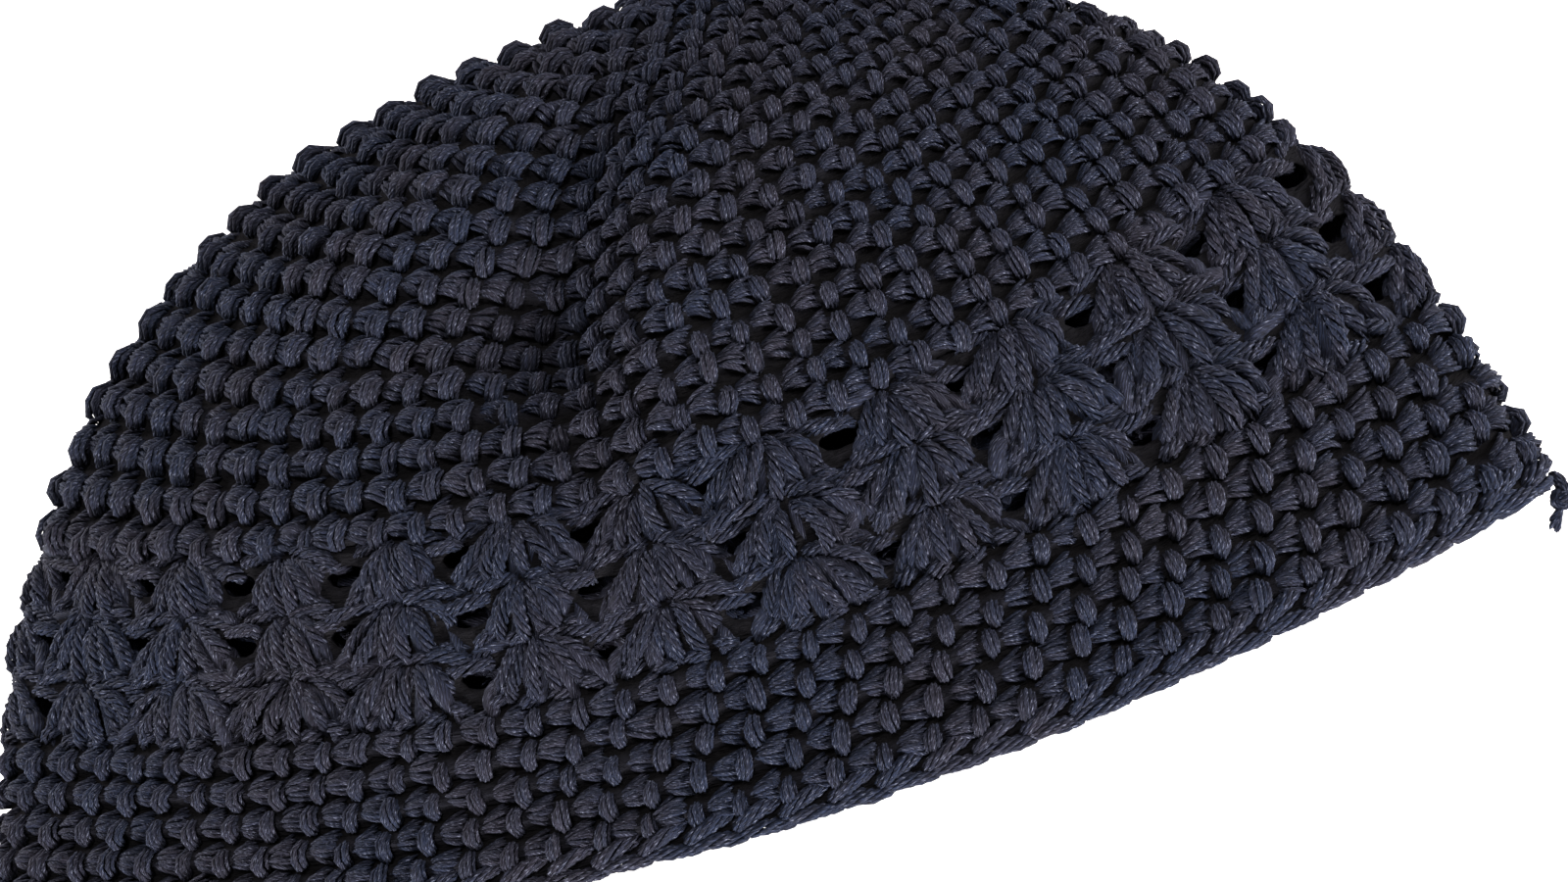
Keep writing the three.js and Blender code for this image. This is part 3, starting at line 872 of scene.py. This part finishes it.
def spread_out(tree, value, low, high, least=0.0, most=1.0):
    node = tree.nodes.new("ShaderNodeMapRange")
    node.inputs["From Min"].default_value = low
    node.inputs["From Max"].default_value = high
    node.inputs["To Min"].default_value = least
    node.inputs["To Max"].default_value = most
    tree.links.new(value, node.inputs["Value"])
    return node.outputs[0]


def mix_colours(tree, factor, first, second):
    mix = tree.nodes.new("ShaderNodeMix")
    mix.data_type = "RGBA"
    tree.links.new(factor, mix.inputs["Factor"])
    feed(tree, mix.inputs["A"], first)
    feed(tree, mix.inputs["B"], second)
    return mix.outputs["Result"]


def attribute(tree, name):
    node = tree.nodes.new("ShaderNodeAttribute")
    node.attribute_name = name
    return node.outputs["Fac"]


def strand_map(tree):
    node = tree.nodes.new("ShaderNodeUVMap")
    node.uv_map = "strand"
    return node.outputs["UV"]


def raise_bumps(tree, shader, height, distance):
    bump = tree.nodes.new("ShaderNodeBump")
    bump.inputs["Strength"].default_value = 1.0
    bump.inputs["Distance"].default_value = distance * MM
    tree.links.new(height, bump.inputs["Height"])
    tree.links.new(bump.outputs["Normal"], shader.inputs["Normal"])


def new_material(name, finish):
    material = bpy.data.materials.new(name)
    material.use_nodes = True
    shader = material.node_tree.nodes["Principled BSDF"]
    for socket, value in finish.items():
        shader.inputs[socket].default_value = value
    return material, material.node_tree, shader


def plied_group():
    """Ridges of the filaments and the fibres along them, from a strand's turn and length, with painted
    shade for the grooves and painted glints for the ply tops.
    """
    group = bpy.data.node_groups.new("twisted plies", "ShaderNodeTree")
    group.interface.new_socket("Strand", in_out="INPUT", socket_type="NodeSocketVector")
    for output in ("Ridge", "Shade", "Fibre", "Painted glint"):
        group.interface.new_socket(output, in_out="OUTPUT", socket_type="NodeSocketFloat")
    nodes, links = group.nodes, group.links
    given = nodes.new("NodeGroupInput")
    result = nodes.new("NodeGroupOutput")
    parts = nodes.new("ShaderNodeSeparateXYZ")
    links.new(given.outputs["Strand"], parts.inputs[0])
    turn, length = parts.outputs["X"], parts.outputs["Y"]

    phase = maths(group, "MULTIPLY", maths(group, "ADD", turn, length), FILAMENTS)
    from_middle = maths(group, "SUBTRACT", maths(group, "FRACT", phase), 0.5)
    inside = maths(group, "MULTIPLY", from_middle, 2.0)
    squared = maths(group, "MULTIPLY", inside, inside)
    ridge = maths(group, "SQRT", maths(group, "SUBTRACT", 1.0, squared))
    place = nodes.new("ShaderNodeCombineXYZ")
    links.new(maths(group, "MULTIPLY", phase, FIBRES_ROUND), place.inputs["X"])
    links.new(maths(group, "MULTIPLY", length, FIBRES_ALONG), place.inputs["Y"])
    fibre = noise_at(group, place.outputs[0])
    # Painted shade: darker between the filaments and where the fibre noise is low
    shade = spread_out(group, fibre, SHADE_FROM, SHADE_TO, LEAST_SHADE)
    # Painted glints from the brightest fibre noise, kept to the ply tops below
    painted_glint = spread_out(group, fibre, GLINT_FROM, GLINT_TO)
    on_top = maths(group, "POWER", ridge, 2.0)
    links.new(ridge, result.inputs["Ridge"])
    links.new(fibre, result.inputs["Fibre"])
    links.new(maths(group, "MULTIPLY", ridge, shade), result.inputs["Shade"])
    links.new(maths(group, "MULTIPLY", painted_glint, on_top), result.inputs["Painted glint"])
    return group


def navy_yarn(plies):
    material, tree, shader = new_material("navy_yarn", YARN_FINISH)
    twist = tree.nodes.new("ShaderNodeGroup")
    twist.node_tree = plies
    tree.links.new(strand_map(tree), twist.inputs["Strand"])
    place = tree.nodes.new("ShaderNodeTexCoord")
    patches = noise_at(tree, place.outputs["Object"], PATCH_SCALE)
    patches = spread_out(tree, patches, PATCH_FROM, PATCH_TO, PATCH_PLUM, PATCH_BLUE)
    hue = maths(tree, "MULTIPLY_ADD", attribute(tree, "tone"), STRAND_TONE, patches)
    dyed = mix_colours(tree, hue, PLUM_NAVY, BLUE_NAVY)
    # Painted shade in the grooves and fibre gaps, turning to the dyed colour on the filaments' ridges
    body = mix_colours(tree, twist.outputs["Shade"], PAINTED_GROOVE_SHADE, dyed)
    # Painted glints on the ply tops, laid over the yarn colour
    colour = mix_colours(tree, twist.outputs["Painted glint"], body, PAINTED_GLINT_NAVY)
    tree.links.new(colour, shader.inputs["Base Color"])
    height = maths(tree, "MULTIPLY_ADD", twist.outputs["Fibre"], FIBRE_HEIGHT, twist.outputs["Ridge"])
    raise_bumps(tree, shader, height, FILAMENT_BUMP)
    return material


def shaded_inner_yarn():
    material, tree, shader = new_material("shaded_inner_yarn", INNER_FINISH)
    streaks = tree.nodes.new("ShaderNodeMapping")
    streaks.inputs["Scale"].default_value = STREAK_SCALE
    tree.links.new(strand_map(tree), streaks.inputs["Vector"])
    noise = noise_at(tree, streaks.outputs[0])
    raised = mix_colours(tree, noise, SHADED_INNER_DARK, SHADED_INNER_NAVY)
    # Painted shade: darkest in the valleys between rounds, lighter on their ridges
    colour = mix_colours(tree, attribute(tree, "rise"), SHADED_INNER_VALLEY, raised)
    tree.links.new(colour, shader.inputs["Base Color"])
    raise_bumps(tree, shader, noise, STREAK_BUMP)
    return material


# Camera, table and lights, in metres

CAMERA_PLACE = (0.0455, -0.1062, 0.1892)
CAMERA_YAW = 15.70
CAMERA_DROP = 63.65
CAMERA_ROLL = 31.61
CAMERA_LENS = 28.69
CAMERA_SENSOR = 36.0
CAMERA_NEAREST = 0.01
TABLE_HALF_SIZE = 3.0
TABLE_DROP = -0.05 * MM
SKY_COLOUR = (1.0, 0.95, 0.9, 1.0)
SKY_STRENGTH = 0.42

# Lights: name, place, target, size, watts and colour
LIGHTS = (
    ("overhead", (0.05, 0.22, 0.98), (0, 0, 0), 0.3, 13.0, (0.99, 0.975, 1.0)),
    ("window", (-0.8, 0.4, 0.3), (0, 0, 0), 0.3, 34.0, (0.97, 0.955, 1.0)),
    ("front", (-0.03, -0.6, 0.11), (-0.03, -0.05, 0.01), 0.15, 22.0, (0.98, 0.97, 1.0)),
    ("right", (0.5, -0.05, 0.16), (0.08, 0, 0), 0.25, 11.0, (0.98, 0.97, 1.0)),
)


def photo_camera():
    data = bpy.data.cameras.new("camera")
    data.lens = CAMERA_LENS
    data.sensor_width = CAMERA_SENSOR
    data.clip_start = CAMERA_NEAREST
    camera = bpy.data.objects.new("camera", data)
    bpy.context.scene.collection.objects.link(camera)
    look = Matrix.Rotation(math.radians(CAMERA_YAW), 4, "Z")
    look = look @ Matrix.Rotation(math.radians(90 - CAMERA_DROP), 4, "X")
    look = look @ Matrix.Rotation(-math.radians(CAMERA_ROLL), 4, "Z")
    camera.matrix_world = Matrix.Translation(CAMERA_PLACE) @ look
    bpy.context.scene.camera = camera


def area_light(name, place, target, size, watts, colour):
    data = bpy.data.lights.new(name, "AREA")
    data.shape = "DISK"
    data.size = size
    data.energy = watts
    data.color = colour
    light = bpy.data.objects.new(name, data)
    light.location = place
    light.visible_camera = False
    light.rotation_euler = (Vector(target) - Vector(place)).to_track_quat("-Z", "Y").to_euler()
    bpy.context.scene.collection.objects.link(light)


def table_top():
    top = bmesh.new()
    bmesh.ops.create_grid(top, x_segments=4, y_segments=4, size=TABLE_HALF_SIZE)
    bmesh.ops.translate(top, verts=top.verts, vec=(0, 0, TABLE_DROP))
    mesh = bpy.data.meshes.new("table_top")
    top.to_mesh(mesh)
    top.free()
    table = bpy.data.objects.new("table_top", mesh)
    bpy.context.scene.collection.objects.link(table)
    mesh.materials.append(new_material("pale_table", TABLE_FINISH)[0])


def studio():
    world = bpy.data.worlds.new("studio")
    bpy.context.scene.world = world
    world.use_nodes = True
    sky = world.node_tree.nodes["Background"]
    sky.inputs["Color"].default_value = SKY_COLOUR
    sky.inputs["Strength"].default_value = SKY_STRENGTH
    for light in LIGHTS:
        area_light(*light)
    bpy.context.scene.view_settings.view_transform = "Standard"


def settle(piece, material, node):
    piece.data.materials.append(material)
    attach(piece, "root")
    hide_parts(node)


# Rounds of the crown that each of its upper pieces holds
CROWN_PIECES = (
    ("crown_stitches_top", 0, 12),
    ("crown_stitches_middle", 12, 16),
    ("crown_stitches_low", 16, CROWN_ROUNDS),
)


def main():
    photo_camera()
    table_top()
    studio()
    yarn = navy_yarn(plied_group())
    inside = shaded_inner_yarn()
    lobe = StrandShape(sides=4, rings=5)
    post = StrandShape(sides=5, rings=9)
    plain = StrandShape(sides=6, rings=5)

    for name, first, last in CROWN_PIECES:
        settle(crown_rounds(name, first, last, True, lobe), yarn, "crown")
    settle(crown_rounds("crown_stitches_under", 0, CROWN_ROUNDS, False, plain), yarn, "crown")
    crown_rows = ROUND_ROWS * CROWN_ROUNDS
    crown_wall = wall_core("crown_wall", 0.0, CROWN_END, CORE_COLUMNS, crown_rows, CROWN_ROUNDS)
    settle(crown_wall, inside, "crown")

    for index, level in enumerate(("upper", "middle", "lower")):
        settle(shell_posts("shell_posts_" + level, (index,), True, post), yarn, "shell_band")
    settle(shell_heads("shell_heads", lobe), yarn, "shell_band")
    settle(shell_posts("shell_posts_under", range(SHELL_ROUNDS), False, plain), yarn, "shell_band")
    columns, rows = SHELLS * SHELL_COLUMNS, SHELL_ROUNDS * SHELL_ROWS
    shell_wall = wall_core("shell_wall", CROWN_END, SHELL_END, columns, rows, pierced=True)
    settle(shell_wall, inside, "shell_band")

    settle(rim_rounds("rim_stitches", True, lobe), yarn, "rim_band")
    settle(rim_rounds("rim_stitches_under", False, plain), yarn, "rim_band")
    rim_rows = ROUND_ROWS * RIM_ROUNDS
    rim_wall = wall_core("rim_wall", SHELL_END, RIM_END, CORE_COLUMNS, rim_rows, RIM_ROUNDS)
    settle(rim_wall, inside, "rim_band")

    edge_wall = wall_core("edge_wall", RIM_END, RIM_END + EDGE_COVER, CORE_COLUMNS, EDGE_ROWS)
    settle(edge_wall, inside, "edge_chain")
    settle(edge_chain("edge_chain_stitches", True, post), yarn, "edge_chain")
    settle(edge_chain("edge_chain_under", False, plain), yarn, "edge_chain")
    settle(yarn_tail("yarn_tail_knot", post), yarn, "yarn_tail")


main()
